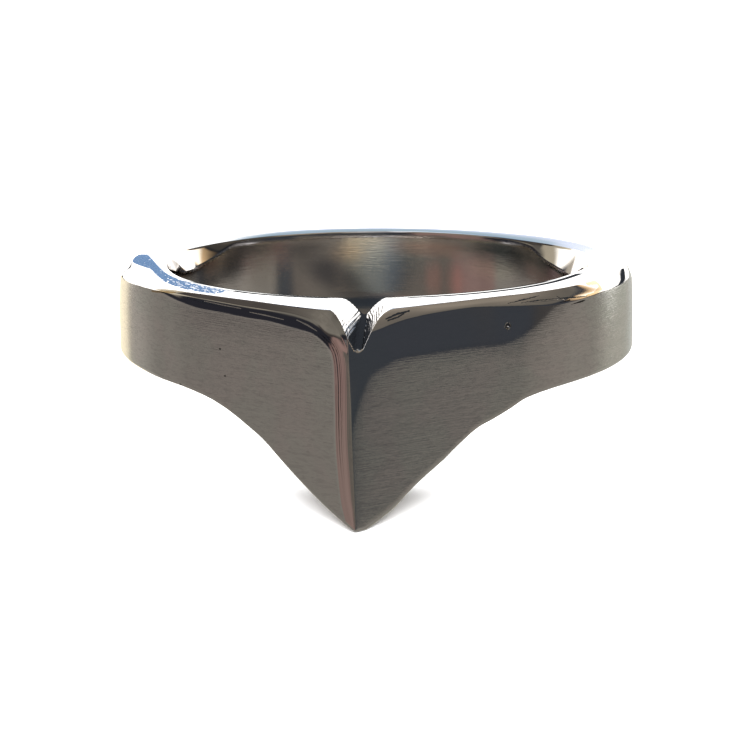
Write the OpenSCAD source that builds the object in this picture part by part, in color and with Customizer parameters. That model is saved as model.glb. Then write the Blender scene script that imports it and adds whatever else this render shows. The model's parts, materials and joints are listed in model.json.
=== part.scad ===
// Finger ring in one solid piece of metal. Two flat front faces run off the
// round band and meet in an upright ridge, which ends below in a point. A
// filed V notch cuts the top rim where the ridge starts. The ring lies as it
// would by itself, on the tip of the point and the back of the band, so its
// finger hole leans back.
//
// Ring frame: finger axis along Z, top rim at z = 0, point towards -Y.
// Azimuth is measured from -Y towards +X, so the -X side has negative azimuths.
// All lengths are in millimetres.

/* [Finger hole] */
// Inside radius of the finger hole
bore_r = 9.5; // [8.5:0.1:10.5]
// Drop of the shallow bevel round the inside of the top rim
crest_h = 0.06; // [0.04:0.01:0.2]
// Width of the shallow bevel round the inside of the top rim
crest_w = 0.6; // [0.4:0.05:0.7]

/* [Band] */
// Wall thickness at the two sides, where the band is widest
side_wall = 2.22; // [1.9:0.02:2.6]
// Wall thickness at the back of the band
back_wall = 1.4; // [1.2:0.05:1.8]
// Height of the band at the two sides
side_h = 3.9; // [3.6:0.1:4.6]
// Height of the band at the back
back_h = 4.5; // [3.6:0.1:4.8]
// How much the top of the wall leans in from its widest line
barrel = 0.1; // [0:0.02:0.2]
// Rounding of the lower outside edge
low_edge = 0.22; // [0.1:0.02:0.3]
// Chamfer of the lower inside edge
low_chamfer = 0.26; // [0.2:0.02:0.34]
// How far the inside of the point stands back from the finger
relief = 0.12; // [0.08:0.01:0.18]

/* [Front faces and point] */
// Azimuth at which each flat front face leaves the round band
face_az = 36; // [30:1:40]
// Depth of the point below the top rim, before it is blunted
point_drop = 9.18; // [7:0.02:11]
// Depth at which the point is blunted
point_cut = 9.02; // [6.8:0.02:10.9]
// Azimuth of the ridge at the top rim
ridge_top_az = -1.9; // [-3:0.1:3]
// Azimuth of the ridge at the point
ridge_low_az = -0.5; // [-1:0.1:1]
// Softness of the ridge, in degrees of azimuth
ridge_soft = 0.6; // [0.4:0.1:2]

/* [Notch] */
// Depth of the notch at the inside of the rim
notch_in = 0.78; // [0.5:0.02:1]
// Slope of the notch floor, down towards the front
notch_slope = 9.5; // [6:0.5:16]
// Half width of the notch at its floor
notch_floor = 0.16; // [0.1:0.02:0.3]
// Half width of the notch half way up
notch_mid = 0.72; // [0.5:0.02:0.9]
// Half width of the notch at the top rim
notch_top = 1.2; // [0.9:0.05:1.4]

/* [Hidden] */

// Lower edge, one row per azimuth. drop_l and drop_r give how much of the
// point's extra depth is reached on the -X and the +X side, and rise gives how
// far the inside edge stands above the outside edge.
AZ = 0; DROP_L = 1; DROP_R = 2; RISE = 3;
lower = [
    // az  drop_l drop_r  rise
    [   0, 1.000, 1.000,  0.90],
    [   3, 0.905, 0.918,  0.62],
    [   6, 0.815, 0.832,  0.40],
    [   9, 0.720, 0.718,  0.22],
    [  12, 0.625, 0.622,  0.08],
    [  16, 0.495, 0.512, -0.06],
    [  20, 0.370, 0.392, -0.14],
    [  24, 0.282, 0.290, -0.16],
    [  28, 0.205, 0.232, -0.14],
    [  32, 0.144, 0.170, -0.12],
    [  36, 0.100, 0.102, -0.10],
    [  42, 0.060, 0.060, -0.07],
    [  50, 0.038, 0.036, -0.04],
    [  62, 0.016, 0.018, -0.02],
    [  90, 0.000, 0.000,  0.00]];

// Shoulder between the top face and the outer wall, one row per azimuth: how
// far it steps in at the top (in_l, in_r) and how far it reaches down
// (high_l, high_r) on the -X and the +X side.
IN_L = 1; IN_R = 2; HIGH_L = 3; HIGH_R = 4;
shoulder = [
    // az  in_l  in_r  high_l high_r
    [   0, 0.55, 0.34, 0.94, 1.00],
    [   5, 0.50, 0.23, 0.88, 0.66],
    [   9, 0.27, 0.17, 0.50, 0.46],
    [  14, 0.20, 0.17, 0.34, 0.35],
    [  23, 0.17, 0.16, 0.32, 0.30],
    [  37, 0.16, 0.21, 0.30, 0.46],
    [  48, 0.34, 0.30, 0.30, 0.54],
    [  64, 0.94, 0.56, 0.30, 0.42],
    [  72, 0.92, 0.52, 0.30, 0.44],
    [  80, 0.76, 0.34, 0.38, 0.60],
    [  92, 0.48, 0.40, 0.80, 0.90],
    [ 110, 0.44, 0.44, 1.00, 1.00],
    [ 180, 0.34, 0.34, 0.80, 0.80]];

// Edge of the finger hole below the top rim, one row per azimuth: how far it
// reaches down (deep_l, deep_r) and how wide it is (wide_l, wide_r) on the -X
// and the +X side. It is broad where the rim turns round to the back.
DEEP_L = 1; DEEP_R = 2; WIDE_L = 3; WIDE_R = 4;
inner_edge = [
    // az deep_l deep_r wide_l wide_r
    [   0, 0.10, 0.10, 0.12, 0.12],
    [  68, 0.10, 0.12, 0.12, 0.12],
    [  76, 0.12, 0.30, 0.12, 0.18],
    [  84, 0.25, 0.80, 0.16, 0.36],
    [  92, 0.60, 1.20, 0.26, 0.52],
    [ 100, 0.90, 1.30, 0.36, 0.56],
    [ 112, 0.95, 1.20, 0.38, 0.50],
    [ 124, 0.85, 0.90, 0.32, 0.38],
    [ 134, 0.45, 0.55, 0.21, 0.25],
    [ 144, 0.15, 0.20, 0.13, 0.15],
    [ 152, 0.10, 0.10, 0.12, 0.12],
    [ 180, 0.10, 0.10, 0.12, 0.12]];

// Steps of azimuth: finest at the ridge, finer on the faces than on the band
azimuths = concat(
    [for (a = [-175:5:-45]) a], [for (a = [-42:2:-10]) a],
    [for (a = [-9:1:-5]) a], [for (a = [-4:0.5:4]) a], [for (a = [5:1:9]) a],
    [for (a = [10:2:42]) a], [for (a = [45:5:180]) a]);

// Smooth curve through column c of a table whose first column is azimuth
function row(t, a, i = 0) = i >= len(t) - 2 || a <= t[i + 1][0] ? i : row(t, a, i + 1);
function tangent(t, i, c) =
    i <= 0 ? (t[1][c] - t[0][c]) / (t[1][0] - t[0][0]) :
    i >= len(t) - 1 ? 0 :
    (t[i + 1][c] - t[i - 1][c]) / (t[i + 1][0] - t[i - 1][0]);
function hermite(p, q, m, n, h, u) =
    p * (1 + 2 * u) * (1 - u) * (1 - u) + q * u * u * (3 - 2 * u)
    + h * m * u * (1 - u) * (1 - u) - h * n * u * u * (1 - u);
function curve(t, a, c) = a >= t[len(t) - 1][0] ? t[len(t) - 1][c] :
    let (i = row(t, a), h = t[i + 1][0] - t[i][0], u = (a - t[i][0]) / h)
    hermite(t[i][c], t[i + 1][c], tangent(t, i, c), tangent(t, i + 1, c), h, u);
function ease(u) = let (v = min(max(u, 0), 1)) v * v * (3 - 2 * v);

// Sizes at azimuth a
function band_r(a) = bore_r + side_wall
    - (side_wall - back_wall) * ease((abs(a) - 95) / 80);
function ridge_az(z) = ridge_top_az
    + (ridge_low_az - ridge_top_az) * min(max(-z / point_drop, 0), 1);
function soft_abs(a) = sqrt(a * a + ridge_soft * ridge_soft);
function wall_r(a, z) = band_r(a) / cos(max(face_az - soft_abs(a - ridge_az(z)), 0))
    - barrel * pow(max(z + 2.6, 0) / 2.6, 2);
function base_h(a) = side_h + (back_h - side_h) * ease((abs(a) - 90) / 90);
function low_z(a) = -min(point_cut, base_h(a)
    + (point_drop - side_h) * curve(lower, abs(a), a < 0 ? DROP_L : DROP_R));
function step_in(a) = curve(shoulder, abs(a), a < 0 ? IN_L : IN_R);
function shoulder_h(a) = curve(shoulder, abs(a), a < 0 ? HIGH_L : HIGH_R);
function edge_deep(a) = curve(inner_edge, abs(a), a < 0 ? DEEP_L : DEEP_R);
function edge_wide(a) = curve(inner_edge, abs(a), a < 0 ? WIDE_L : WIDE_R);

// The finger hole is full round down to here. Below it, the inside of the
// point is eased, so that its edge doesn't press on the finger.
round_z = -(min(side_h, back_h) - 0.35);

// Section of the wall at azimuth a, as [radius, z], round from the inside of
// the top rim to the inside of the lower edge. It reaches inside the bore.
inner_r = bore_r - 0.25;
function section(a) = let (
        zl = low_z(a), zi = zl + curve(lower, abs(a), RISE),
        h = shoulder_h(a), s = step_in(a), ze = zl + low_edge,
        d = edge_deep(a), w = edge_wide(a))
    concat(
        [[inner_r, -crest_h - d - (bore_r - inner_r) * d / w],
         [bore_r + w, -crest_h], [bore_r + w + crest_w, 0]],
        [for (u = [0, 0.22, 0.46, 0.72])
            [wall_r(a, -h * u) - s * (0.55 * (1 - u) + 0.45 * pow(1 - u, 2)), -h * u]],
        [for (u = [0:0.2:1]) let (z = -h + (ze + h) * u) [wall_r(a, z), z]],
        [for (u = [35, 65]) [wall_r(a, zl) - low_edge * (1 - cos(u)), ze - low_edge * sin(u)]],
        [[wall_r(a, zl) - low_edge, zl], [bore_r + low_chamfer, zi],
         [bore_r + relief, zi + min(low_chamfer, (round_z - zi) / 2)],
         [bore_r + relief, round_z], [inner_r, round_z + 0.4]]);

sections = [for (a = azimuths) [for (p = section(a)) [p[0] * sin(a), -p[0] * cos(a), p[1]]]];
n_sec = len(sections);
n_pt = len(sections[0]);
points = [for (s = sections) each s];
function at(i, j) = (i % n_sec) * n_pt + (j % n_pt);
faces = [for (i = [0:n_sec - 1]) for (j = [0:n_pt - 1]) each
    [[at(i, j), at(i + 1, j), at(i + 1, j + 1)], [at(i, j), at(i + 1, j + 1), at(i, j + 1)]]];

// Rest: the lean at which the point and the back of the band touch together
front_pts = [for (p = points) if (p[1] < -bore_r && abs(p[0]) < 3) p];
back_pts = [for (p = points) if (p[1] > bore_r && abs(p[0]) < 3) p];
function lowest(pts, t) = min([for (p = pts) -p[1] * sin(t) + p[2] * cos(t)]);
function lean(lo, hi, k) = let (m = (lo + hi) / 2) k == 0 ? m :
    lowest(front_pts, m) < lowest(back_pts, m) ? lean(m, hi, k - 1) : lean(lo, m, k - 1);
rest_lean = lean(0, 30, 16);
leaned = [for (p = points) [p[0], p[1] * cos(rest_lean) + p[2] * sin(rest_lean),
    -p[1] * sin(rest_lean) + p[2] * cos(rest_lean)]];
xs = [for (p = leaned) p[0]];
ys = [for (p = leaned) p[1]];
zs = [for (p = leaned) p[2]];
rest_shift = [-(min(xs) + max(xs)) / 2, -(min(ys) + max(ys)) / 2, -min(zs)];

// Band with its front faces, ridge and point, still closed inside
module blank() {
    polyhedron(points = points, faces = faces, convexity = 6);
}

// Finger hole, a true cylinder
module finger_hole() {
    translate([0, 0, -15]) cylinder(r = bore_r, h = 20, $fn = 180);
}

// V notch across the front of the rim, with a narrow floor and flared lips
module notch() {
    depth = notch_in / cos(notch_slope);
    translate([0, -bore_r, -notch_in]) rotate([90 + notch_slope, 0, 0])
        translate([0, 0, -1.5]) linear_extrude(height = 8)
            polygon([[-notch_floor, 0], [notch_floor, 0],
                [notch_mid * 0.42, 0.34 + 0.04], [notch_mid, 1.12],
                [notch_top, 1.68], [notch_top + 0.3, 3],
                [-notch_top - 0.3, 3], [-notch_top, 1.68],
                [-notch_mid, 1.12], [-notch_mid * 0.42, 0.34 + 0.04]]);
}

module ring() {
    color("#8f8d88")
    translate(rest_shift) rotate([-rest_lean, 0, 0])
    difference() {
        blank();
        finger_hole();
        notch();
    }
}

ring();
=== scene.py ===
"""Looks of the pointed finger ring: one metal piece, built as a smooth lofted
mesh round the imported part, with satin front faces, polished rim, shoulders and
edges, and a filed notch. Lengths in the ring's own frame are in millimetres
until the mesh is placed. In that frame the finger axis is Z, the top rim is at
z = 0, the point is towards -Y, and azimuth runs from -Y towards +X."""

import json
import math

import bpy
import numpy as np
from mathutils import Matrix, Vector


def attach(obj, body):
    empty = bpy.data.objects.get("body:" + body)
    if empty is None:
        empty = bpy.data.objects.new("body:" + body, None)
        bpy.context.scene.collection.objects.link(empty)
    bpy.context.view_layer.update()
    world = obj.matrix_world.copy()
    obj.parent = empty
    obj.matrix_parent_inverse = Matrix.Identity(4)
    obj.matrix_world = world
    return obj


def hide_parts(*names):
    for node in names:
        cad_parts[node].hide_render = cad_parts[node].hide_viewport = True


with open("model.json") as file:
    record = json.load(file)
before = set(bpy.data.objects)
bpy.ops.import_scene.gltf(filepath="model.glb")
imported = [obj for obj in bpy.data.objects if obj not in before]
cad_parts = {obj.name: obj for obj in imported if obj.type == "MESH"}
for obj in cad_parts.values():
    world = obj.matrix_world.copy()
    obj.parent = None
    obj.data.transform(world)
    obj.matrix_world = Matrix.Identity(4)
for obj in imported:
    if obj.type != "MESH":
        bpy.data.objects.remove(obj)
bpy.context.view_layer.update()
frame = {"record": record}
MM = 0.001

# ---------------------------------------------------------------- ring frame
# The finger hole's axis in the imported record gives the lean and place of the
# ring's own frame.
BORE_MOUNT_Z = -1.78
mount = [m for m in frame["record"]["mounts"] if m["name"] == "finger_bore"][0]
AXIS = Vector(mount["axis"]).normalized()
ORIGIN = Vector(mount["pos_m"]) - AXIS * (BORE_MOUNT_Z * MM)
LEAN = math.atan2(AXIS.y, AXIS.z)
TO_ROW = np.array([[1, 0, 0], [0, math.cos(LEAN), math.sin(LEAN)], [0, -math.sin(LEAN), math.cos(LEAN)]])


def to_row(p):
    """Points of the ring's frame, in mm, as points of the row frame, in m."""
    return np.asarray(p, float) @ TO_ROW.T * MM + np.array(ORIGIN)


# ------------------------------------------------------------------- camera
# The photo's view: a long lens 120 mm off, three degrees right of the point.
def add_camera():
    back = Vector((0.05128, -0.97850, 0.19975))
    right = Vector((0.99866, 0.05158, -0.00372))
    up = back.cross(right)
    place = Vector((6.1398, -118.0098, 18.7045))
    rot = Matrix([list(r) for r in TO_ROW])
    cam = bpy.data.objects.new("camera", bpy.data.cameras.new("camera"))
    bpy.context.scene.collection.objects.link(cam)
    cam.data.sensor_width = 36.0
    cam.data.lens = 2615.1 * 36.0 / 751
    cam.data.clip_start, cam.data.clip_end = 0.005, 20.0
    m = Matrix([list(v) for v in (rot @ right, rot @ up, rot @ back)]).transposed().to_4x4()
    m.translation = Vector(to_row(place))
    cam.matrix_world = m
    bpy.context.scene.camera = cam
    return cam


camera = add_camera()

# -------------------------------------------------------------------- sizes
BORE_R = 9.5
SIDE_WALL, BACK_WALL = 2.22, 1.40
SIDE_H, BACK_H = 3.90, 4.50
BARREL = 0.10
LOW_EDGE = 0.20
RELIEF = 0.12
ROUND_Z = -(min(SIDE_H, BACK_H) - 0.38)
FACE_AZ = 36.0
POINT_DROP, POINT_CUT = 9.18, 9.02
RIDGE_TOP_AZ, RIDGE_LOW_AZ = -1.9, -0.5
WALL_R = BORE_R + SIDE_WALL

#   az  drop_l drop_r  rise
LOWER = np.array([
    [0, 1.000, 1.000, 0.90],
    [3, 0.905, 0.918, 0.62],
    [6, 0.815, 0.832, 0.40],
    [9, 0.720, 0.718, 0.22],
    [12, 0.625, 0.622, 0.08],
    [16, 0.495, 0.512, -0.06],
    [20, 0.370, 0.392, -0.14],
    [24, 0.282, 0.290, -0.16],
    [28, 0.205, 0.232, -0.14],
    [32, 0.144, 0.170, -0.12],
    [36, 0.100, 0.102, -0.10],
    [42, 0.060, 0.060, -0.07],
    [50, 0.038, 0.036, -0.04],
    [62, 0.016, 0.018, -0.02],
    [90, 0.000, 0.000, 0.00]])

# Polished facet between the top face and the outer wall: how far it steps in
# at the top, and how far it reaches down.
#   az  in_l  in_r  high_l high_r
SHOULDER = np.array([
    [0.0, 0.55, 0.34, 0.94, 1.00],
    [3.6, 0.54, 0.26, 0.92, 0.77],
    [5.4, 0.48, 0.22, 0.86, 0.64],
    [7.2, 0.33, 0.19, 0.56, 0.54],
    [9.0, 0.27, 0.17, 0.42, 0.46],
    [13, 0.20, 0.17, 0.29, 0.35],
    [18, 0.18, 0.16, 0.28, 0.29],
    [23, 0.17, 0.16, 0.28, 0.27],
    [29, 0.15, 0.18, 0.26, 0.35],
    [37, 0.14, 0.21, 0.22, 0.46],
    [43, 0.18, 0.25, 0.20, 0.56],
    [50, 0.40, 0.30, 0.20, 0.54],
    [56, 0.52, 0.40, 0.24, 0.48],
    [64, 0.74, 0.56, 0.28, 0.40],
    [71, 0.86, 0.56, 0.30, 0.42],
    [76, 0.88, 0.34, 0.33, 0.40],
    [80, 0.74, 0.18, 0.36, 0.40],
    [86, 0.50, 0.20, 0.56, 0.56],
    [94, 0.40, 0.36, 0.80, 0.85],
    [110, 0.44, 0.44, 1.00, 1.00],
    [180, 0.34, 0.34, 0.80, 0.80]])
SHOULDER_FLAT = 0.55

# Where the flat of each front face ends, before it turns up to its shoulder
# and in to the ridge.
#   az     z
LEFT_EDGE = np.array([
    [-75.0, -0.02],
    [-56.0, -0.24],
    [-48.3, -0.40],
    [-43.0, -0.54],
    [-36.9, -0.66],
    [-28.3, -0.71],
    [-22.9, -0.75],
    [-17.8, -0.76],
    [-13.1, -0.86],
    [-8.7, -0.97],
    [-6.6, -1.20],
    [-5.1, -1.55],
    [-4.35, -2.11],
    [-4.15, -3.56],
    [-4.0, -5.67],
    [-3.2, -7.75],
    [-2.4, -8.64],
    [-1.9, -9.60]])
RIGHT_EDGE = np.array([
    [-0.60, -9.60],
    [-0.95, -7.20],
    [-1.10, -5.60],
    [-0.85, -4.80],
    [-0.15, -4.12],
    [0.58, -3.52],
    [1.89, -2.86],
    [4.45, -2.44],
    [7.20, -2.18],
    [13.1, -2.08],
    [21.9, -2.02],
    [29.1, -2.06],
    [34.1, -1.84],
    [39.3, -1.31],
    [42.7, -0.83],
    [46.0, -0.46],
    [52.0, 0.10],
    [60.0, 0.60]])


def curve(table, a, c):
    """Smooth curve through column c of a table whose first column is azimuth."""
    x, y = table[:, 0], table[:, c]
    m = np.zeros(len(x))
    m[0] = (y[1] - y[0]) / (x[1] - x[0])
    m[1:-1] = (y[2:] - y[:-2]) / (x[2:] - x[:-2])
    a = np.clip(a, x[0], x[-1])
    i = np.clip(np.searchsorted(x, a, side="right") - 1, 0, len(x) - 2)
    h = x[i + 1] - x[i]
    u = (a - x[i]) / h
    return (y[i] * (1 + 2 * u) * (1 - u) ** 2 + y[i + 1] * u * u * (3 - 2 * u)
            + h * m[i] * u * (1 - u) ** 2 - h * m[i + 1] * u * u * (1 - u))


def smooth(lo, hi, x):
    t = np.clip((x - lo) / (hi - lo), 0, 1)
    return t * t * (3 - 2 * t)


def ramp_up(x, w):
    """x where it is positive and 0 where it is negative, rounded over w."""
    return 0.5 * (x + np.sqrt(x * x + w * w))


def two_sided(table, az, left, right):
    """The left column at -X azimuths and the right one at +X, eased across the notch."""
    w = smooth(-1.2, 1.2, az)
    return curve(table, np.abs(az), left) * (1 - w) + curve(table, np.abs(az), right) * w


def band_r(az):
    return BORE_R + SIDE_WALL - (SIDE_WALL - BACK_WALL) * smooth(95, 175, np.abs(az))


def low_z(az):
    base = SIDE_H + (BACK_H - SIDE_H) * smooth(90, 180, np.abs(az))
    drop = base + (POINT_DROP - SIDE_H) * two_sided(LOWER, az, 1, 2)
    k = 0.05  # the point is blunted, with soft corners
    return -(0.5 * (drop + POINT_CUT) - 0.5 * np.sqrt((drop - POINT_CUT) ** 2 + k * k))


def along(az, side):
    """Distance along the wall from the ridge, in mm, on one side."""
    phi = np.radians(FACE_AZ - side * (np.asarray(az, float) + 1.2))
    t36 = math.tan(math.radians(FACE_AZ))
    return WALL_R * np.where(phi > 0, t36 - np.tan(np.clip(phi, 0, 1.3)), t36 - phi)


def dense(points, steps=14):
    """A smooth line through a few points."""
    p = np.vstack([2 * points[0] - points[1], points, 2 * points[-1] - points[-2]])
    out = []
    for k in range(1, len(p) - 2):
        for u in np.linspace(0, 1, steps, endpoint=False):
            out.append(0.5 * (2 * p[k] + (p[k + 1] - p[k - 1]) * u
                              + (2 * p[k - 1] - 5 * p[k] + 4 * p[k + 1] - p[k + 2]) * u * u
                              + (3 * p[k] - p[k - 1] - 3 * p[k + 1] + p[k + 2]) * u ** 3))
    out.append(p[-2])
    return np.array(out)


class Edge:
    """Signed distance past the end of a face's flat, in mm along the wall."""

    def __init__(self, table, side):
        self.side = side
        self.line = dense(np.stack([along(table[:, 0], side), table[:, 1]], 1))

    def past(self, az, z):
        az, z = np.broadcast_arrays(az, z)
        s = along(az, self.side).ravel()
        zf = z.ravel()
        a, b = self.line[:-1], self.line[1:]
        ab = b - a
        ll = (ab ** 2).sum(1)
        best = np.full(len(s), 1e9)
        sign = np.ones(len(s))
        for k in range(len(a)):
            px, pz = s - a[k, 0], zf - a[k, 1]
            t = np.clip((px * ab[k, 0] + pz * ab[k, 1]) / ll[k], 0, 1)
            dx, dz = px - t * ab[k, 0], pz - t * ab[k, 1]
            d = dx * dx + dz * dz
            near = d < best
            cross = ab[k, 0] * pz - ab[k, 1] * px
            best = np.where(near, d, best)
            sign = np.where(near, np.sign(cross), sign)
        flip = 1 if self.line[-1, 0] > self.line[0, 0] else -1
        return (np.sqrt(best) * sign * flip).reshape(az.shape)


left_edge, right_edge = Edge(LEFT_EDGE, -1), Edge(RIGHT_EDGE, 1)


def turn_left(az, z):
    """How far the left face falls back past the end of its flat: a narrow
    polished strip beside the ridge, and the foot of the shoulder above."""
    d = ramp_up(left_edge.past(az, z), 0.03)
    up = smooth(-2.2, -1.1, z)
    lines = np.sin(2 * np.pi * d / 0.088 + 0.7 * np.sin(0.9 * z)) + 0.7 * np.sin(2 * np.pi * d / 0.053 + 0.31 * z)
    worn = smooth(0.14, 0.26, d) * (1 - up) * (0.35 + 0.65 * smooth(-6.5, -3.0, z))
    return (0.10 - 0.045 * up) * d + (0.17 + 0.10 * up) * np.minimum(d, 0.9) ** 2 + 0.0011 * worn * lines


def turn_right(az, z):
    d = right_edge.past(az, z)
    return 0.115 * ramp_up(d, 0.34)


def ridge_az(z):
    return RIDGE_TOP_AZ + (RIDGE_LOW_AZ - RIDGE_TOP_AZ) * np.clip(-z / POINT_DROP, 0, 1)


# The two faces fall back by different amounts at the ridge; this puts the
# crest of the two where it belongs.
_z = np.linspace(-9.6, 0.0, 97)
_lag = turn_left(ridge_az(_z), _z) - turn_right(ridge_az(_z), _z)
_shift = np.degrees(_lag / (2 * 14.3 * math.tan(math.radians(FACE_AZ))))


def wall_r(az, z):
    """Radius of the outer wall: the band, and two flat front faces that meet
    in a crisp arris."""
    az, z = np.broadcast_arrays(np.asarray(az, float), np.asarray(z, float))
    ridge = ridge_az(z) - np.interp(z, _z, _shift)
    a = az - ridge
    band = band_r(az)
    phi_l = np.radians(np.clip(FACE_AZ + a, 0, 52))
    phi_r = np.radians(np.clip(FACE_AZ - a, 0, 52))
    left = band / np.cos(phi_l) - turn_left(az, z)
    right = band / np.cos(phi_r) - turn_right(az, z)
    k = 0.012
    both = 0.5 * (left + right) - 0.5 * np.sqrt((left - right) ** 2 + k * k)
    return both - BARREL * (np.maximum(z + 2.6, 0) / 2.6) ** 2


def shoulder_in(az, z):
    s, h = two_sided(SHOULDER, az, 1, 2), two_sided(SHOULDER, az, 3, 4)
    v = ramp_up(1 + z / h, 0.05)
    return s * (SHOULDER_FLAT * v + (1 - SHOULDER_FLAT) * v * v)


class Wall:
    def __init__(self, az):
        self.az = az
        self.z = np.concatenate([np.linspace(-9.6, -2.4, 121)[:-1], np.linspace(-2.4, 0.3, 181)])
        self.r = wall_r(az[:, None], self.z[None, :])

    def at(self, z):
        """Radius at each azimuth (rows) for z given per azimuth."""
        z = np.asarray(z, float)
        k = np.clip(np.searchsorted(self.z, z) - 1, 0, len(self.z) - 2)
        u = (z - self.z[k]) / (self.z[k + 1] - self.z[k])
        i = np.arange(len(self.az))
        return self.r[i, k] * (1 - u) + self.r[i, k + 1] * u - shoulder_in(self.az, z)


# Height above the notch floor at the finger hole, and at the front on each side.
#   |x|   back   front_l front_r
NOTCH = np.array([
    [0.00, 0.000, 0.000, 0.000],
    [0.09, 0.035, 0.025, 0.025],
    [0.18, 0.130, 0.090, 0.090],
    [0.30, 0.290, 0.330, 0.330],
    [0.48, 0.460, 0.690, 0.690],
    [0.72, 0.640, 1.080, 1.080],
    [0.95, 0.760, 1.350, 1.380],
    [1.20, 0.860, 1.520, 1.640],
    [1.60, 0.990, 1.820, 2.020],
    [2.20, 1.140, 2.340, 2.540],
    [6.00, 2.000, 5.800, 6.000]])


def strokes(x, l, z):
    """How deeply the file has scored the notch at a place, 0 to 1. The strokes
    lie level, so they climb the walls as the floor drops to the front."""
    q = z + 0.012 * l + 0.010 * np.sin(1.7 * l + 3 * x)
    a = 0.5 + 0.5 * np.sin(2 * np.pi * q / 0.108 + 0.9 * np.sin(2 * np.pi * q / 0.41 + 0.6 * l))
    b = 0.5 + 0.5 * np.sin(2 * np.pi * q / 0.047 + 1.1 * np.sin(1.3 * l + 7 * q))
    return np.clip(0.75 * a ** 1.8 + 0.35 * b ** 2, 0, 1)


def notch_h(x, y):
    """Height of the notch's surface: a filed V whose floor slopes to the front."""
    l = -y - BORE_R
    t = np.abs(x)
    w = np.clip(l / 4.4, -0.2, 1.1)
    front = np.where(x < 0, np.interp(t, NOTCH[:, 0], NOTCH[:, 2]), np.interp(t, NOTCH[:, 0], NOTCH[:, 3]))
    h = np.interp(t, NOTCH[:, 0], NOTCH[:, 1]) * (1 - w) + front * w
    z = -0.78 - 0.170 * l + h
    fade = smooth(1.5, 0.9, h) * smooth(-0.3, 0.3, l)
    return z - np.where(x < 0, 0.030, 0.022) * smooth(0.06, 0.2, t) * fade * strokes(x, l, z)


# Inner rim, all round: how far its inner edge drops, the radius where that
# bevel starts, and the height and width of the rounding into the finger hole.
#   az   drop   from   round_h round_w
RIM = np.array([
    [-180, 0.06, 10.60, 0.06, 0.10],
    [-148, 0.07, 10.60, 0.07, 0.10],
    [-139, 0.08, 10.70, 0.08, 0.11],
    [-132, 0.09, 10.80, 0.14, 0.13],
    [-125, 0.12, 10.95, 0.45, 0.22],
    [-114, 0.16, 11.15, 0.90, 0.37],
    [-105, 0.13, 11.00, 1.00, 0.38],
    [-96, 0.08, 10.60, 0.68, 0.28],
    [-89, 0.05, 10.20, 0.38, 0.20],
    [-82, 0.035, 9.96, 0.16, 0.13],
    [-75, 0.03, 9.84, 0.07, 0.10],
    [-60, 0.03, 9.82, 0.06, 0.09],
    [-45, 0.03, 9.90, 0.06, 0.09],
    [-28, 0.05, 10.10, 0.06, 0.09],
    [-12, 0.07, 10.15, 0.06, 0.09],
    [0, 0.09, 10.15, 0.06, 0.09],
    [12, 0.04, 10.10, 0.06, 0.09],
    [28, 0.02, 10.08, 0.06, 0.09],
    [50, 0.02, 10.02, 0.06, 0.09],
    [64, 0.02, 9.92, 0.07, 0.10],
    [70, 0.02, 10.00, 0.12, 0.12],
    [76.6, 0.04, 10.41, 0.28, 0.17],
    [81.3, 0.06, 10.95, 0.58, 0.28],
    [88, 0.08, 11.20, 1.05, 0.48],
    [100, 0.11, 11.20, 1.30, 0.56],
    [112, 0.13, 11.10, 1.20, 0.50],
    [124, 0.13, 11.00, 0.78, 0.34],
    [131, 0.11, 10.85, 0.30, 0.18],
    [138, 0.09, 10.75, 0.10, 0.12],
    [146, 0.08, 10.70, 0.08, 0.11],
    [180, 0.06, 10.60, 0.06, 0.10]])


def smin(a, b, k):
    h = np.clip(0.5 + 0.5 * (b - a) / k, 0, 1)
    return b * (1 - h) + a * h - k * h * (1 - h)


_edge_az = np.linspace(-180, 180, 721)
_edge_r = wall_r(_edge_az, 0.0) - shoulder_in(_edge_az, 0.0)


def scribed(az):
    """Where a line is scribed along the top face."""
    return smooth(-40, -33, az) * smooth(-5, -9, az) + smooth(5, 12, az) * smooth(74, 66, az)


def outer_strip(az):
    """Width of the buffed strip along the outer edge of the rim on the left."""
    return (0.42 - 0.20 * smooth(-66, -46, az)) * smooth(-88, -72, az)


def rim(az, r):
    """The top surface before the notch is cut."""
    drop, start = curve(RIM, az, 1), curve(RIM, az, 2)
    x = r * np.sin(np.radians(az))
    front = smooth(100, 60, np.abs(az))
    z = front * (0.0055 * x - 0.012)
    u = ramp_up(start - r, 0.03) / (start - BORE_R - 0.1)
    q = 0.7 * smooth(120, 150, np.abs(az))
    z = z - drop * ((1 - q) * u + q * u * u)
    # a scribed line where the bevel starts
    z = z - 0.010 * scribed(az) * np.exp(-((r - start) / 0.07) ** 2)
    # on the left the outer half millimetre is buffed down a little
    worn = smooth(-92, -84, az) * smooth(-20, -34, az)
    z = z - 0.03 * worn * ramp_up(r - np.interp(az, _edge_az, _edge_r) + outer_strip(az), 0.02)
    # behind the finger hole the top is gently domed
    dome = smooth(84, 104, np.abs(az))
    z = z - 0.03 * smooth(92, 102, az) * smooth(140, 126, az) * ramp_up(r - 10.2, 0.05)
    return z - dome * 0.12 * np.maximum(r - (band_r(az) - 0.75), 0) ** 2


def top(az, r):
    """Height of the ring's top surface, the notch cut in."""
    x, y = r * np.sin(np.radians(az)), -r * np.cos(np.radians(az))
    z = rim(az, r)
    k = 0.05 + 0.10 * smooth(0.2, -0.4, x) * smooth(12.2, 10.0, r) + 0.40 * smooth(0.3, 0.8, x) * smooth(11.8, 13.4, r)
    return np.where(np.abs(az) < 40, smin(z, notch_h(x, y), k), z)


def bezier(p0, p1, p2, t):
    return p0 * (1 - t) ** 2 + 2 * p1 * t * (1 - t) + p2 * t * t


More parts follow.
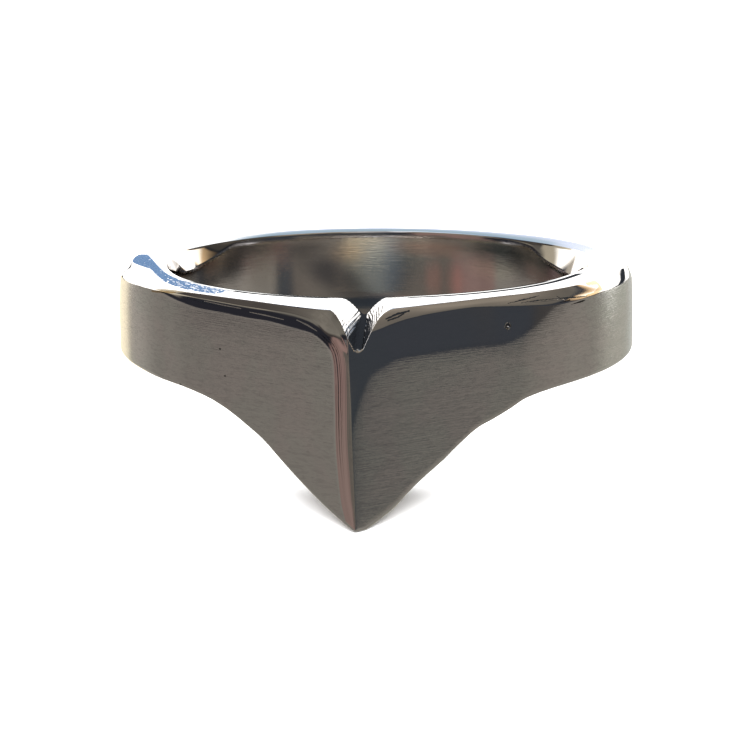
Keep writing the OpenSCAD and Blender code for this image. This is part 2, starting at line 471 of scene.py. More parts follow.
# ---------------------------------------------------------------- the mesh
def build_ring():
    az = np.concatenate([
        np.arange(-180, -136, 2.2), np.arange(-136, -48, 1.0), np.arange(-48, -7, 0.42),
        np.arange(-7, 7, 0.075), np.arange(7, 30.2, 0.42), np.arange(30.2, 31.9, 0.12),
        np.arange(31.9, 48, 0.42), np.arange(48, 136, 1.0), np.arange(136, 179.4, 2.2)])
    n = len(az)
    wall = Wall(az)
    zl, zi = low_z(az), low_z(az) + curve(LOWER, np.abs(az), 3)
    # corner where the top surface meets the outer wall
    zc = np.zeros(n)
    for _ in range(160):
        zc = 0.6 * zc + 0.4 * top(az, wall.at(zc))
    rc = wall.at(zc)
    drop_h, drop_w = curve(RIM, az, 3), curve(RIM, az, 4)
    start = curve(RIM, az, 2)

    def bore_wall(z):
        return BORE_R + RELIEF * smooth(ROUND_Z + 0.02, ROUND_Z - 0.28, z)

    rows, marks = [], []

    def add(r, z, mark):
        rows.append((r, z))
        marks.append(mark)

    # finger hole, from its lower edge up
    ra = BORE_R + drop_w
    za = top(az, ra)
    z0, z1 = zi + 0.20, za - drop_h
    for t in np.linspace(0, 1, 14):
        z = z0 + (z1 - z0) * t
        add(bore_wall(z), z, "bore")
    # rounded inner edge of the rim
    for t in np.linspace(0, 1, 9)[1:]:
        b = smooth(0.1, 0.5, drop_h)
        add(bezier(np.full(n, BORE_R), BORE_R + (0.18 + 0.22 * b) * drop_w, ra, t),
            bezier(z1, za - (0.15 + 0.35 * b) * drop_h, za, t), "crest")
    # top face and notch walls
    d = 0.04 + 0.045 * np.exp(-(az / 1.5) ** 2)
    rb = rc - d
    mid = np.clip(start, ra + 0.17, rb - 0.17)
    steps = [ra + 0.004]
    steps += [ra + (mid - 0.15 - ra) * t for t in (0.25, 0.5, 0.65, 0.8, 1.0)]
    steps += [mid - 0.11, mid + 0.11]
    steps += [mid + 0.15 + (rb - mid - 0.15) * t for t in np.linspace(0, 1, 27)]
    for r in steps:
        add(r, top(az, r), "top")
    # crisp outer edge of the top face and of the notch
    p0, p1, p2 = (rb, top(az, rb)), (rc, zc), (wall.at(zc - d), zc - d)
    for t in np.linspace(0, 1, 5)[1:]:
        add(bezier(p0[0], p1[0], p2[0], t), bezier(p0[1], p1[1], p2[1], t), "edge")
    # shoulder and outer wall
    za, zb = zc - d, zl + LOW_EDGE
    for t in np.linspace(0, 1, 74)[1:]:
        z = za + (zb - za) * (0.38 * t + 0.62 * t * t)
        add(wall.at(z), z, "wall")
    # rounded lower edge
    rl = wall.at(zb)
    for t in np.linspace(0, 1, 7)[1:]:
        a = t * math.pi / 2
        add(rl - LOW_EDGE * (1 - math.cos(a)), zb - LOW_EDGE * math.sin(a), "low")
    # underside
    r0, r1 = rl - LOW_EDGE, bore_wall(zi) + 0.20
    for t in np.linspace(0, 1, 10)[1:]:
        add(r0 + (r1 - r0) * t, zl + (zi - zl) * t, "under")
    p0, p1, p2 = (r1, zi), (bore_wall(zi), zi), (bore_wall(z0), z0)
    for t in np.linspace(0, 1, 6)[1:-1]:
        add(bezier(p0[0], p1[0], p2[0], t), bezier(p0[1], p1[1], p2[1], t), "inner_low")

    R = np.stack([np.broadcast_to(r, (n,)) for r, _ in rows], 1)
    Z = np.stack([np.broadcast_to(z, (n,)) for _, z in rows], 1)
    return az, R, Z, np.array(marks)


# Painted reflections on the wall of the finger hole, light and dark: where
# each one lies (degrees from the back, positive to the left, and height), its
# half width and half height, how it slants (mm a degree) and what it does to
# the metal's red, green and blue.
#   turn    z     wide  high  slant   red   green blue
HOLE_REFLECTIONS = np.array([
    [39.0, -0.58, 5.0, 0.24, 0.000, 0.62, 0.62, 0.64],
    [25.0, -0.80, 5.5, 0.26, 0.000, 0.62, 0.63, 0.66],
    [49.5, -1.10, 3.5, 0.75, 0.000, 0.66, 0.66, 0.66],
    [62.0, -1.00, 8.0, 0.30, 0.000, 0.62, 0.61, 0.58],
    [15.0, -2.35, 8.5, 0.65, 0.085, 0.45, 0.48, 0.53],
    [31.7, -2.10, 2.4, 1.00, 0.000, 1.50, 1.44, 1.36],
    [39.0, -1.90, 5.0, 0.80, 0.000, 0.88, 0.87, 0.84],
    [12.0, -1.15, 4.0, 0.38, 0.000, 1.30, 1.16, 1.02],
    [1.50, -1.80, 5.0, 1.50, 0.000, 1.02, 1.12, 1.28],
    [-12.5, -0.85, 8.0, 0.30, 0.000, 1.32, 1.02, 0.94],
    [-14.6, -2.45, 2.2, 0.75, 0.000, 1.45, 1.08, 1.04],
    [-21.3, -2.40, 2.0, 0.70, 0.000, 1.28, 1.02, 0.98],
    [-31.0, -0.68, 9.0, 0.24, 0.000, 0.60, 0.66, 0.66],
    [-46.0, -0.86, 9.0, 0.26, 0.012, 0.58, 0.63, 0.64],
    [-35.0, -1.65, 7.0, 0.45, 0.000, 1.22, 1.24, 1.14],
    [-57.0, -1.40, 9.0, 0.60, 0.000, 0.84, 0.88, 0.88]])


def hole_reflections(az, z):
    """Colour factors of the finger hole's wall from its painted reflections, a red, green and blue for each place."""
    turn = np.where(az < 0, 180 + az, az - 180)
    tone = np.ones(az.shape + (3,))
    for t0, z0, wide, high, slant, *colour in HOLE_REFLECTIONS:
        q = ((turn - t0) / wide) ** 2 + ((z - z0 - slant * (turn - t0)) / high) ** 2
        m = smooth(1.9, 0.35, np.sqrt(np.maximum(q + 0.15 * np.sin(0.55 * turn + 3.1 * z), 0)))
        tone = tone * (1 + m[..., None] * (np.array(colour) - 1))
    return tone


def pit(az, R, Z):
    """A small casting pit high on the right face."""
    d = np.hypot(np.radians(az[:, None] - 31.36) * R, Z + 1.208)
    return -0.08 * smooth(0.125, 0.03, d) + 0.010 * np.exp(-((d - 0.15) / 0.03) ** 2)


def make_ring():
    az, R, Z, marks = build_ring()
    is_wall = (marks == "wall")[None, :]
    R = R + np.where(is_wall, pit(az, R, Z), 0)
    n, m = R.shape
    X, Y = R * np.sin(np.radians(az))[:, None], -R * np.cos(np.radians(az))[:, None]
    pts = np.stack([X, Y, Z], -1).reshape(-1, 3)
    i, j = np.meshgrid(np.arange(n), np.arange(m), indexing="ij")
    i2, j2 = (i + 1) % n, (j + 1) % m
    quads = np.stack([i * m + j, i2 * m + j, i2 * m + j2, i * m + j2], -1).reshape(-1, 4)
    mesh = bpy.data.meshes.new("ring_body")
    mesh.from_pydata(to_row(pts).tolist(), [], quads.tolist())
    mesh.validate(clean_customdata=False)
    mesh.shade_smooth()
    print("ring mesh", n, m, 2 * len(quads), "triangles")

    # how polished each place is: rim, shoulders, strip and edges are bright,
    # the front faces, band and finger hole are satin, the notch is filed
    A = np.broadcast_to(az[:, None], (n, m))
    high = two_sided(SHOULDER, az, 3, 4)[:, None]
    ridge = ridge_az(Z) - np.interp(Z, _z, _shift)
    past_l = np.where(A < ridge, left_edge.past(A, Z), -1)
    past_r = np.where(A >= ridge, right_edge.past(A, Z), -1)
    facet = smooth(1.12, 0.98, -Z / high)
    left = smooth(-0.10, 0.12, past_l)
    right = smooth(-0.3, 0.3, past_r)
    polish = np.where(is_wall, np.maximum(facet, np.maximum(left, 0.72 * right)), 0.0)
    for name, value in (("top", 1.0), ("edge", 1.0), ("crest", 1.0), ("bore", 0.62), ("low", 0.6), ("under", 0.25), ("inner_low", 0.6)):
        polish = np.where((marks == name)[None, :], value, polish)
    is_crest = (marks == "crest")[None, :]
    # the notch: black deep down, and in the file strokes higher up
    depth = rim(A, R) - Z
    in_notch = np.isin(marks, ["top", "edge"])[None, :] & (np.abs(A) < 12)
    filed = np.where(in_notch, smooth(0.08, 0.40, depth), 0)
    x, l = R * np.sin(np.radians(A)), R * np.cos(np.radians(A)) - BORE_R
    w = np.clip(l / 4.4, 0, 1)
    score = strokes(x, l, Z)
    t = np.abs(x) - np.where(x < 0, 0.24 + 0.36 * w, 0.09 + 0.05 * w)
    tarnish_and_shade = smooth(0.05, -0.05, t + np.where(x < 0, 0.36, 0.20) * (0.45 - score))
    tarnish_and_shade = np.maximum(tarnish_and_shade, smooth(0.17, 0.11, np.abs(x)))
    tarnish_and_shade = np.maximum(tarnish_and_shade, smooth(0.45, 0.85, score) * smooth(0.42, 0.10, t) * np.where(x < 0, 0.8, 0.7))
    # painted highlight: the black is lifted in a small spot near the front of the notch floor, and along the edge rows
    # near the floor
    glint = np.exp(-((x + 0.02) / 0.06) ** 2 - ((l - 4.45) / 0.14) ** 2)
    tarnish_and_shade = tarnish_and_shade * smooth(0.08, 0.25, depth) * in_notch * (1 - 0.6 * glint)
    tarnish_and_shade = np.where((marks == "edge")[None, :], tarnish_and_shade * smooth(0.25, 0.6, np.abs(x)), tarnish_and_shade)
    # tarnish in the scribed line
    start = curve(RIM, az, 2)[:, None]
    is_top = (marks == "top")[None, :]
    tarnish_and_shade = np.maximum(tarnish_and_shade, np.where(is_top, scribed(A) * smooth(0.21, 0.14, np.abs(R - start)), 0))
    # a dark band along the inner edge of the front rim
    lip = smooth(0.24, 0.14, R - BORE_R - curve(RIM, az, 4)[:, None]) * smooth(68, 50, np.abs(A))
    tarnish_and_shade = np.maximum(tarnish_and_shade, np.where(is_top | (marks == "crest")[None, :], lip, 0))
    # painted shade: the upper half of the pit is dark, with a small spot left clear
    s, v = np.radians(A - 31.36) * R, Z + 1.208
    tarnish_and_shade = np.maximum(tarnish_and_shade, np.where(is_wall, smooth(0.135, 0.10, np.hypot(s, v)) * smooth(0.035, 0.055, np.hypot(s - 0.02, v + 0.02)), 0))
    # painted shade low on the inside of the point: darkened here, and tinted blue in the material
    inside = np.isin(marks, ["bore", "inner_low"])[None, :]
    inner = np.where(inside, smooth(-3.4, -4.2, Z) * smooth(60, 40, np.abs(A)), 0)
    tarnish_and_shade = np.maximum(tarnish_and_shade, 0.62 * inner)
    # a dull edge round the back of the finger hole
    tarnish_and_shade = np.maximum(tarnish_and_shade, np.where(is_crest, 0.04 * smooth(118, 130, np.abs(A)), 0))
    # the scuffed zone on the left of the rim; in the material its scratches also carry a painted reflection of blue sky
    scuff_and_sky_reflection = smooth(-103, -93, A) * smooth(-31, -38, A) * smooth(0.04, 0.12, R - start)
    scuff_and_sky_reflection = np.where(is_top, scuff_and_sky_reflection * smooth(-0.04, 0.04, np.interp(A, _edge_az, _edge_r) - R - outer_strip(A)), 0)
    # painted reflections, light and dark, on the back part of the finger hole's wall
    on_bore = (marks == "bore")[None, :, None] & (np.abs(A) > 90)[..., None]
    tone = np.where(on_bore, hole_reflections(A, Z), 1.0)
    dim = smooth(114, 122, np.abs(A)) * smooth(150, 143, np.abs(A))
    tone = np.where(is_crest[..., None], tone * (1.0 + 0.35 * smooth(95, 104, A) - 0.62 * dim)[..., None], tone)
    # how far past the end of the left flat, for the streaks in the strip beside the ridge
    strip = np.where(is_wall & (A < ridge), past_l, -1.0)

    def point_attribute(name, values):
        at = mesh.attributes.new(name, "FLOAT", "POINT")
        at.data.foreach_set("value", np.ascontiguousarray(values, np.float32).ravel())

    point_attribute("polish", polish)
    point_attribute("filed", filed)
    point_attribute("tarnish_and_shade", tarnish_and_shade)
    point_attribute("scuff_and_sky_reflection", scuff_and_sky_reflection)
    point_attribute("strip", strip)
    point_attribute("inner", inner)
    # along the brushing, and across it, in mm; it closes on itself behind the
    # ring, and the finger hole's is set apart, so it has none of the wall's marks
    behind = np.clip((np.abs(A) - 100) / 80, 0, 1)
    hole = np.isin(marks, ["bore", "crest", "inner_low"])[None, :]
    wallish = np.isin(marks, ["wall", "low", "edge", "bore", "crest", "inner_low"])[None, :]
    vec = np.stack([np.radians(np.clip(A, -100, 100)) * 11.0 * (1 - behind), np.where(wallish, Z, R),
                    8.0 * behind + np.where(hole, 3.0, 0.0)], -1)
    for name, value in (("brush", vec), ("tone", tone)):
        at = mesh.attributes.new(name, "FLOAT_VECTOR", "POINT")
        at.data.foreach_set("vector", np.ascontiguousarray(value, np.float32).ravel())

    obj = bpy.data.objects.new("ring_body", mesh)
    bpy.context.scene.collection.objects.link(obj)
    return obj


ring = make_ring()


# --------------------------------------------------------------- materials
class Nodes:
    """A little help with node trees."""

    def __init__(self, tree):
        self.tree = tree
        tree.nodes.clear()

    def add(self, kind, **props):
        node = self.tree.nodes.new(kind)
        for k, v in props.items():
            setattr(node, k, v)
        return node

    def link(self, a, b):
        self.tree.links.new(a, b)

    def put(self, sock, value):
        if isinstance(value, bpy.types.NodeSocket):
            self.link(value, sock)
        else:
            sock.default_value = value

    def math(self, op, a, b=None, c=None, clamp=False):
        node = self.add("ShaderNodeMath", operation=op, use_clamp=clamp)
        for i, v in enumerate((a, b, c)):
            if v is not None:
                self.put(node.inputs[i], v)
        return node.outputs[0]

    def vmath(self, op, a, b=None):
        node = self.add("ShaderNodeVectorMath", operation=op)
        for i, v in enumerate((a, b)):
            if v is not None:
                self.put(node.inputs[i], v)
        return node.outputs["Value" if op in ("DOT_PRODUCT", "LENGTH", "DISTANCE") else "Vector"]

    def ramp(self, x, lo, hi, a=0.0, b=1.0):
        node = self.add("ShaderNodeMapRange", interpolation_type="SMOOTHSTEP")
        for k, v in (("Value", x), ("From Min", lo), ("From Max", hi), ("To Min", a), ("To Max", b)):
            self.put(node.inputs[k], v)
        return node.outputs["Result"]

    def mix(self, f, a, b):
        node = self.add("ShaderNodeMix", data_type="RGBA")
        self.put(node.inputs[0], f)
        self.put(node.inputs[6], a)
        self.put(node.inputs[7], b)
        return node.outputs[2]

    def mixf(self, f, a, b):
        node = self.add("ShaderNodeMix", data_type="FLOAT")
        self.put(node.inputs[0], f)
        self.put(node.inputs[2], a)
        self.put(node.inputs[3], b)
        return node.outputs[0]

    def noise(self, vector, scale, detail=2.0, rough=0.5, distortion=0.0):
        node = self.add("ShaderNodeTexNoise")
        self.put(node.inputs["Vector"], vector)
        node.inputs["Scale"].default_value = scale
        node.inputs["Detail"].default_value = detail
        node.inputs["Roughness"].default_value = rough
        node.inputs["Distortion"].default_value = distortion
        return node.outputs[0]

    def marks(self, v, lines):
        """Distance from v to the nearest of some lines, as a share of the line's
        half width there. A line is a list of points (x, y, half width)."""
        least = None
        for line in lines:
            for (x0, y0, w0), (x1, y1, w1) in zip(line, line[1:]):
                ab = Vector((x1 - x0, y1 - y0, 0.0))
                m = self.vmath("SUBTRACT", (x0, y0, 0.0), v)
                t = self.vmath("DOT_PRODUCT", m, tuple(-ab / ab.length_squared))
                t = self.math("ADD", t, 0.0, clamp=True)
                node = self.add("ShaderNodeVectorMath", operation="SCALE")
                node.inputs[0].default_value = ab
                self.put(node.inputs["Scale"], t)
                d = self.vmath("LENGTH", self.vmath("ADD", node.outputs["Vector"], m))
                d = self.math("DIVIDE", d, self.math("MULTIPLY_ADD", t, w1 - w0, w0))
                least = d if least is None else self.math("MINIMUM", least, d)
        return least

    def attribute(self, name):
        return self.add("ShaderNodeAttribute", attribute_name=name)


# Marks and painted reflections on the outer wall: (azimuth in radians times 11, z, half width), in mm.
GOUGES_AND_DARK_REFLECTION = [
    [(-16.40, -0.040, 0.015), (-15.40, -0.140, 0.045), (-14.95, -0.320, 0.035)],
    [(-14.60, -0.300, 0.035), (-13.60, -0.360, 0.015)],
    [(6.13, -0.276, 0.010), (6.83, -0.207, 0.022), (7.74, -0.118, 0.008)],
    [(6.75, -0.309, 0.008), (7.55, -0.292, 0.020), (8.39, -0.320, 0.012)],
    [(8.64, -0.228, 0.010), (8.77, -0.334, 0.026), (9.52, -0.392, 0.030), (10.42, -0.448, 0.014)],
    [(0.91, -0.367, 0.030), (1.30, -0.218, 0.040), (1.76, -0.150, 0.030)],
    [(0.98, -0.431, 0.026), (1.34, -0.335, 0.034), (1.56, -0.225, 0.024)],
    [(-8.16, -0.262, 0.014), (-6.73, -0.363, 0.022), (-5.36, -0.411, 0.010)],
    # painted dark reflection: the dark crescent at the right end of the top edge
    [(15.15, 0.020, 0.040), (14.95, -0.050, 0.100), (14.45, -0.230, 0.160), (13.95, -0.360, 0.090), (13.30, -0.420, 0.030), (12.60, -0.430, 0.010)]]
STAINS = [
    [(8.70, -0.500, 0.010), (9.29, -0.466, 0.030)],
    [(9.30, -0.660, 0.010), (10.05, -0.615, 0.045), (10.25, -0.600, 0.020)],
    [(-5.97, -2.225, 0.045), (-5.95, -2.225, 0.045)],
    [(-5.72, -3.353, 0.040), (-5.70, -3.353, 0.040)],
    [(-8.28, -4.090, 0.045), (-8.26, -4.090, 0.045)],
    [(5.65, -4.940, 0.045), (5.67, -4.940, 0.045)]]
# painted golden reflections, on the right and on the left of the top edge
GOLD_REFLECTIONS = [
    [(10.95, -0.038, 0.06), (11.80, -0.093, 0.09), (11.65, -0.290, 0.09), (10.94, -0.436, 0.06), (10.41, -0.427, 0.03)],
    [(-10.28, -0.304, 0.05), (-9.42, -0.224, 0.06), (-8.67, -0.150, 0.03)]]
SCORES = [
    [(-2.23, -0.496, 0.008), (-1.76, -0.646, 0.020), (-1.41, -0.812, 0.008)],
    [(-4.40, -0.470, 0.008), (-3.60, -0.500, 0.016), (-2.80, -0.560, 0.008)],
    [(-6.90, -0.300, 0.008), (-5.90, -0.350, 0.014), (-4.90, -0.380, 0.008)],
    [(8.25, -0.270, 0.008), (8.60, -0.300, 0.020), (8.95, -0.420, 0.010)],
    [(6.95, -0.330, 0.008), (7.90, -0.345, 0.016), (8.60, -0.360, 0.010)]]


def metal():
    mat = bpy.data.materials.new("ring_metal")
    mat.use_nodes = True
    n = Nodes(mat.node_tree)
    out = n.add("ShaderNodeOutputMaterial")
    bsdf = n.add("ShaderNodeBsdfPrincipled")
    n.link(bsdf.outputs[0], out.inputs[0])
    bsdf.inputs["Specular IOR Level"].default_value = 0.0
    polish = n.attribute("polish").outputs["Fac"]
    filed = n.attribute("filed").outputs["Fac"]
    tarnish_and_shade = n.attribute("tarnish_and_shade").outputs["Fac"]
    scuff_and_sky_reflection = n.attribute("scuff_and_sky_reflection").outputs["Fac"]
    strip = n.attribute("strip").outputs["Fac"]
    brush = n.attribute("brush").outputs["Vector"]
    place = n.add("ShaderNodeTexCoord").outputs["Object"]
    sep = n.add("ShaderNodeSeparateXYZ")
    n.link(brush, sep.inputs[0])
    low = n.ramp(sep.outputs[1], -2.2, -5.5)

    lines = n.noise(n.vmath("MULTIPLY", brush, (0.9, 22.0, 1.0)), 1.0, 3.0, 0.6)
    broad = n.noise(n.vmath("MULTIPLY", brush, (0.35, 3.2, 1.0)), 1.0, 2.0, 0.5)
    scratch = n.noise(n.vmath("MULTIPLY", brush, (5.0, 26.0, 1.0)), 1.0, 2.0, 0.6, 0.6)
    grain = n.noise(n.vmath("MULTIPLY", brush, (2.6, 8.0, 1.0)), 1.0, 2.0, 0.55, 0.8)
    marks = n.noise(n.vmath("MULTIPLY", brush, (6.0, 22.0, 1.0)), 1.0, 3.0, 0.7, 1.0)
    cloud = n.noise(place, 420.0, 3.0, 0.5)
    wobble = n.noise(n.vmath("MULTIPLY", brush, (9.0, 14.0, 1.0)), 1.0, 2.0, 0.6)
    frayed = n.vmath("ADD", brush, n.vmath("MULTIPLY", n.vmath("SUBTRACT", wobble, (0.5, 0.5, 0.5)), (0.05, 0.07, 0.0)))
    gouge_and_reflection = n.ramp(n.marks(frayed, GOUGES_AND_DARK_REFLECTION), 1.3, 0.5)
    stain = n.ramp(n.marks(frayed, STAINS), 1.4, 0.4)
    gold_reflection = n.ramp(n.marks(frayed, GOLD_REFLECTIONS), 1.2, 0.6)
    score = n.ramp(n.marks(brush, SCORES), 1.6, 0.2)
    # dark streaks in the strip beside the ridge, dying out downwards
    sway = n.noise(n.vmath("MULTIPLY", brush, (0.0, 0.9, 0.0)), 1.0, 1.0, 0.5)
    along = n.math("MULTIPLY_ADD", n.math("SUBTRACT", sway, 0.5), 0.10, strip)
    streak = None
    for centre, half, amount in ((0.13, 0.020, 0.55), (0.25, 0.028, 0.95), (0.37, 0.022, 0.70), (0.45, 0.014, 0.45)):
        d = n.math("ABSOLUTE", n.math("SUBTRACT", along, centre))
        one = n.ramp(d, half * 1.2, half * 0.3, 0.0, amount)
        streak = one if streak is None else n.math("MAXIMUM", streak, one)
    broken = n.noise(n.vmath("MULTIPLY", brush, (14.0, 1.3, 0.0)), 1.0, 2.0, 0.6)
    fade = n.math("MULTIPLY", n.ramp(sep.outputs[1], -7.6, -3.2), n.ramp(sep.outputs[1], -0.85, -1.12))
    streak = n.math("MULTIPLY", streak, n.math("MULTIPLY", fade, n.ramp(broken, 0.30, 0.50, 0.25, 1.0)))
    # tarnish, gouges, stains and streaks darken the metal, together with painted shade in the pit and inside the point
    # and a painted dark reflection at the right end
    tarnish_and_shade = n.math("MAXIMUM", tarnish_and_shade, n.math("MAXIMUM", gouge_and_reflection, n.math("MULTIPLY", stain, 0.80)))
    tarnish_and_shade = n.math("MAXIMUM", tarnish_and_shade, streak)
    n.link(n.ramp(tarnish_and_shade, 0.84, 0.98, 1.0, 0.0), bsdf.inputs["Metallic"])

    satin_rough = n.math("MULTIPLY_ADD", n.math("SUBTRACT", cloud, 0.5), 0.06, 0.19)
    bright_rough = n.math("MULTIPLY_ADD", n.math("SUBTRACT", scratch, 0.5), 0.04, 0.055)
    rough = n.mixf(polish, satin_rough, bright_rough)
    rough = n.mixf(n.math("MAXIMUM", n.math("MULTIPLY", filed, 0.4), tarnish_and_shade), rough, 0.22)
    n.link(rough, bsdf.inputs["Roughness"])

    tint = n.mix(n.ramp(cloud, 0.40, 0.60), (0.660, 0.660, 0.612, 1), (0.705, 0.648, 0.620, 1))
    satin_col = n.mix(broad, (0.60, 0.58, 0.55, 1), tint)
    satin_col = n.mix(n.ramp(grain, 0.52, 0.36, 0.0, 0.26), satin_col, (0.40, 0.38, 0.37, 1))
    bright_col = n.mix(low, (0.70, 0.66, 0.635, 1), (0.70, 0.71, 0.665, 1))
    col = n.mix(polish, satin_col, bright_col)
    # painted shade: the inside of the point is tinted blue
    col = n.mix(n.attribute("inner").outputs["Fac"], col, (0.56, 0.62, 0.70, 1))
    tone = n.add("ShaderNodeMix", data_type="RGBA", blend_type="MULTIPLY")
    tone.inputs[0].default_value = 1.0
    n.link(col, tone.inputs[6])
    n.link(n.attribute("tone").outputs["Color"], tone.inputs[7])
    col = tone.outputs[2]
    # painted reflection of blue sky in the scratches of the scuffed zone
    worn = n.math("MULTIPLY", scuff_and_sky_reflection, n.ramp(marks, 0.52, 0.40, 0.15, 0.65))
    col = n.mix(worn, col, (0.13, 0.19, 0.31, 1))
    # painted golden reflections
    col = n.mix(n.math("MULTIPLY", gold_reflection, 0.85), col, (0.42, 0.29, 0.135, 1))
    col = n.mix(n.math("MINIMUM", n.math("MULTIPLY", tarnish_and_shade, 1.19), 1.0), col, (0.008, 0.009, 0.011, 1))
    n.link(col, bsdf.inputs["Base Color"])

    height = n.math("MULTIPLY", lines, n.ramp(polish, 0.0, 1.0, 1.5, 0.03))
    height = n.math("MULTIPLY_ADD", grain, n.ramp(polish, 0.0, 1.0, 0.3, 0.0), height)
    height = n.math("MULTIPLY_ADD", scratch, n.ramp(polish, 0.0, 1.0, 0.15, 0.10), height)
    height = n.math("MULTIPLY_ADD", marks, n.math("MULTIPLY", scuff_and_sky_reflection, 0.35), height)
    height = n.math("MULTIPLY_ADD", score, -1.6, height)
    bump = n.add("ShaderNodeBump")
    bump.inputs["Strength"].default_value = 0.35
    bump.inputs["Distance"].default_value = 0.000012
    n.link(height, bump.inputs["Height"])
    # the scuffed part of the rim is worn to a slight slope to the front
    slope = n.add("ShaderNodeVectorMath", operation="SCALE")
    slope.inputs[0].default_value = TO_ROW @ np.array([0.0, -0.16, 0.0])
    speck = n.noise(n.vmath("MULTIPLY", brush, (4.5, 6.5, 1.0)), 1.0, 2.0, 0.6)
    speck = n.math("ADD", speck, n.ramp(sep.outputs[0], -14.0, -9.0, 0.10, 0.0))
    n.link(n.math("MULTIPLY", scuff_and_sky_reflection, n.ramp(speck, 0.38, 0.45)), slope.inputs["Scale"])
    normal = n.vmath("ADD", n.add("ShaderNodeNewGeometry").outputs["Normal"], slope.outputs["Vector"])
    n.link(n.vmath("NORMALIZE", normal), bump.inputs["Normal"])
    n.link(bump.outputs[0], bsdf.inputs["Normal"])
    return mat


ring.data.materials.append(metal())
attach(ring, "root")
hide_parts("ring")


# ------------------------------------------------------- floor and lighting
def add_floor():
    mesh = bpy.data.meshes.new("floor")
    s = 3.0
    mesh.from_pydata([(-s, -s, 0), (s, -s, 0), (s, s, 0), (-s, s, 0)], [], [(0, 1, 2, 3)])
    obj = bpy.data.objects.new("floor", mesh)
    bpy.context.scene.collection.objects.link(obj)
    mat = bpy.data.materials.new("floor_paper")
    mat.use_nodes = True
    b = mat.node_tree.nodes["Principled BSDF"]
    b.inputs["Base Color"].default_value = (0.93, 0.93, 0.93, 1)
    b.inputs["Roughness"].default_value = 0.9
    b.inputs["Specular IOR Level"].default_value = 0.1
    mesh.materials.append(mat)
    obj.visible_glossy = False
    return obj


floor = add_floor()


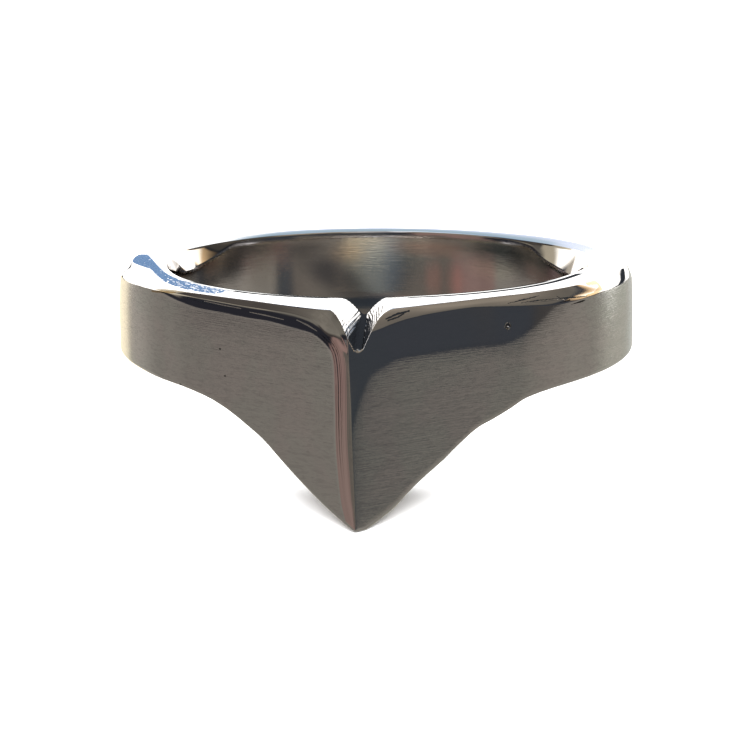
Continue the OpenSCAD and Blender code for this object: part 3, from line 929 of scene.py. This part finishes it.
def set_world():
    """A studio round the ring, by compass bearing and height in degrees. a is
    the bearing from straight behind the ring and f from straight in front, both
    positive to the right; e is the height above the horizon."""
    world = bpy.data.worlds.new("studio")
    bpy.context.scene.world = world
    world.use_nodes = True
    n = Nodes(world.node_tree)
    out = n.add("ShaderNodeOutputWorld")
    bg = n.add("ShaderNodeBackground")
    n.link(bg.outputs[0], out.inputs[0])
    turn = n.add("ShaderNodeVectorRotate", rotation_type="X_AXIS")
    n.link(n.add("ShaderNodeTexCoord").outputs["Generated"], turn.inputs["Vector"])
    turn.inputs["Angle"].default_value = LEAN - math.radians(12.19)
    sep = n.add("ShaderNodeSeparateXYZ")
    n.link(turn.outputs[0], sep.inputs[0])
    x, y, z = sep.outputs
    deg = 180 / math.pi
    a = n.math("MULTIPLY", n.math("ARCTAN2", x, y), deg)
    f = n.math("MULTIPLY", n.math("ARCTAN2", x, n.math("MULTIPLY", y, -1.0)), deg)
    e = n.math("MULTIPLY", n.math("ARCSINE", z), deg)

    def band(v, lo, hi, s):
        up = n.ramp(v, lo - s, lo + s)
        down = n.ramp(v, hi - s, hi + s, 1.0, 0.0)
        return n.math("MULTIPLY", up, down)

    def panel(col, bearing, spread, heights, s, se, colour, amount=1.0):
        """A soft-edged rectangle of light or shade."""
        m = n.math("MULTIPLY", band(bearing, spread[0], spread[1], s), band(e, heights[0], heights[1], se))
        if amount != 1.0:
            m = n.math("MULTIPLY", m, amount)
        return n.mix(m, col, colour + (1,))

    right = n.ramp(x, -0.15, 0.15)
    # warm grey below the horizon, dark above it, a lighter ceiling
    low = n.mix(right, (0.282, 0.263, 0.243, 1), (0.318, 0.298, 0.272, 1))
    col = n.mix(n.ramp(e, -2.2, 0.8), low, (0.048, 0.055, 0.068, 1))
    high_l = n.mix(n.ramp(e, 33.0, 58.0), (0.068, 0.060, 0.057, 1), (0.235, 0.220, 0.190, 1))
    high_r = n.mix(n.ramp(e, 26.0, 56.0), (0.185, 0.172, 0.150, 1), (0.360, 0.320, 0.265, 1))
    col = n.mix(n.ramp(e, 22.0, 26.0), col, n.mix(right, high_l, high_r))
    col = n.mix(n.ramp(e, 80.0, 90.0), col, (0.55, 0.55, 0.56, 1))
    # the left is darker still just above the horizon, with a black edge
    col = panel(col, f, (-140, -60), (0.5, 24), 6, 2, (0.026, 0.027, 0.036))
    # dark in front on the right, rosy in front on the left, a lamp high in front
    col = panel(col, f, (-9, 62), (-70, 24), 2, 2, (0.046, 0.054, 0.065))
    col = panel(col, f, (-68, -9), (-70, 9), 2, 2, (0.285, 0.195, 0.180))
    col = panel(col, f, (-63, -20), (4, 32), 3, 4, (0.325, 0.222, 0.200))
    col = panel(col, f, (71, 92), (-2, 14), 3, 3, (0.066, 0.064, 0.064))
    col = panel(col, f, (-24, 24), (36, 66), 4, 4, (1.6, 1.7, 1.85))
    # brown low in front, with a warm patch on the right
    col = panel(col, f, (-41, 51), (-9, 18), 2.5, 2, (0.165, 0.148, 0.132))
    col = panel(col, f, (14, 27), (2.0, 7), 2.5, 0.7, (0.33, 0.27, 0.21))
    # green-grey above the horizon, left of straight ahead
    col = panel(col, a, (-106, -80), (22.5, 60), 5, 4, (0.215, 0.205, 0.178))
    # bright behind: a broad white sweep, cream low on the left, grey-green low on the right
    col = n.vmath("MULTIPLY", col, n.ramp(n.noise(turn.outputs[0], 3.2, 2.0, 0.5), 0.30, 0.70, 0.86, 1.14))
    col = panel(col, a, (-64, -38), (-36, -12), 8, 2, (0.46, 0.44, 0.40))
    col = panel(col, a, (24, 62), (-36, -12), 7, 2, (0.50, 0.50, 0.44))
    col = panel(col, a, (6, 25), (-36, -12), 5, 2, (0.68, 0.70, 0.66))
    col = panel(col, a, (-40, 9), (-36, -12), 3, 2, (1.35, 1.22, 0.92))
    # a cream and golden border round the white
    col = panel(col, a, (-54, -40), (-1, 7), 3, 2, (0.42, 0.39, 0.33))
    col = panel(col, a, (-84, -20), (7, 31), 5, 2.5, (0.74, 0.68, 0.53))
    col = panel(col, a, (-20, 74), (7, 21.6), 7, 0.9, (1.10, 0.78, 0.44))
    col = panel(col, a, (-66, -44), (6, 20), 3, 2.5, (2.2, 2.2, 2.1))
    col = panel(col, a, (-46, 56), (-12.5, 19.5), 2, 1.2, (2.4, 2.4, 2.35))
    col = panel(col, a, (52, 64), (8, 20), 3, 2, (2.2, 2.1, 1.8))
    # the sky behind, and a blue pane of it on the left
    col = panel(col, a, (-12, 5), (27, 62), 3, 2, (1.3, 1.45, 1.6))
    sky = n.mix(n.ramp(e, -1.0, 7.0), (1.05, 1.15, 1.40, 1), (0.44, 0.60, 0.73, 1))
    m = n.math("MULTIPLY", band(a, -4.8, 1.6, 0.8), band(e, -1.6, 50, 0.5))
    col = n.mix(m, col, sky)
    col = panel(col, a, (-14, -3.5), (8.0, 25.0), 0.8, 0.8, (0.31, 0.52, 0.86))
    # plain pale backdrop where it is looked at directly
    path = n.add("ShaderNodeLightPath")
    col = n.mix(path.outputs["Is Camera Ray"], col, (1.0, 1.0, 1.0, 1))
    n.link(col, bg.inputs["Color"])
    bg.inputs["Strength"].default_value = 1.0


set_world()


def add_area(name, where, size, power, target=(0, 0, 0.004)):
    light = bpy.data.lights.new(name, "AREA")
    light.shape = "RECTANGLE"
    light.size, light.size_y = size
    light.energy = power
    obj = bpy.data.objects.new(name, light)
    bpy.context.scene.collection.objects.link(obj)
    obj.location = where
    obj.rotation_mode = "QUATERNION"
    obj.rotation_quaternion = (Vector(target) - Vector(where)).to_track_quat("-Z", "Y")
    obj.visible_glossy = False
    return obj


add_area("key", (0.0, 0.05, 0.60), (1.6, 1.6), 40.0)

view = bpy.context.scene.view_settings
view.view_transform = "Standard"
view.look = "None"
view.exposure = 0.0
view.gamma = 1.0

bpy.context.view_layer.update()
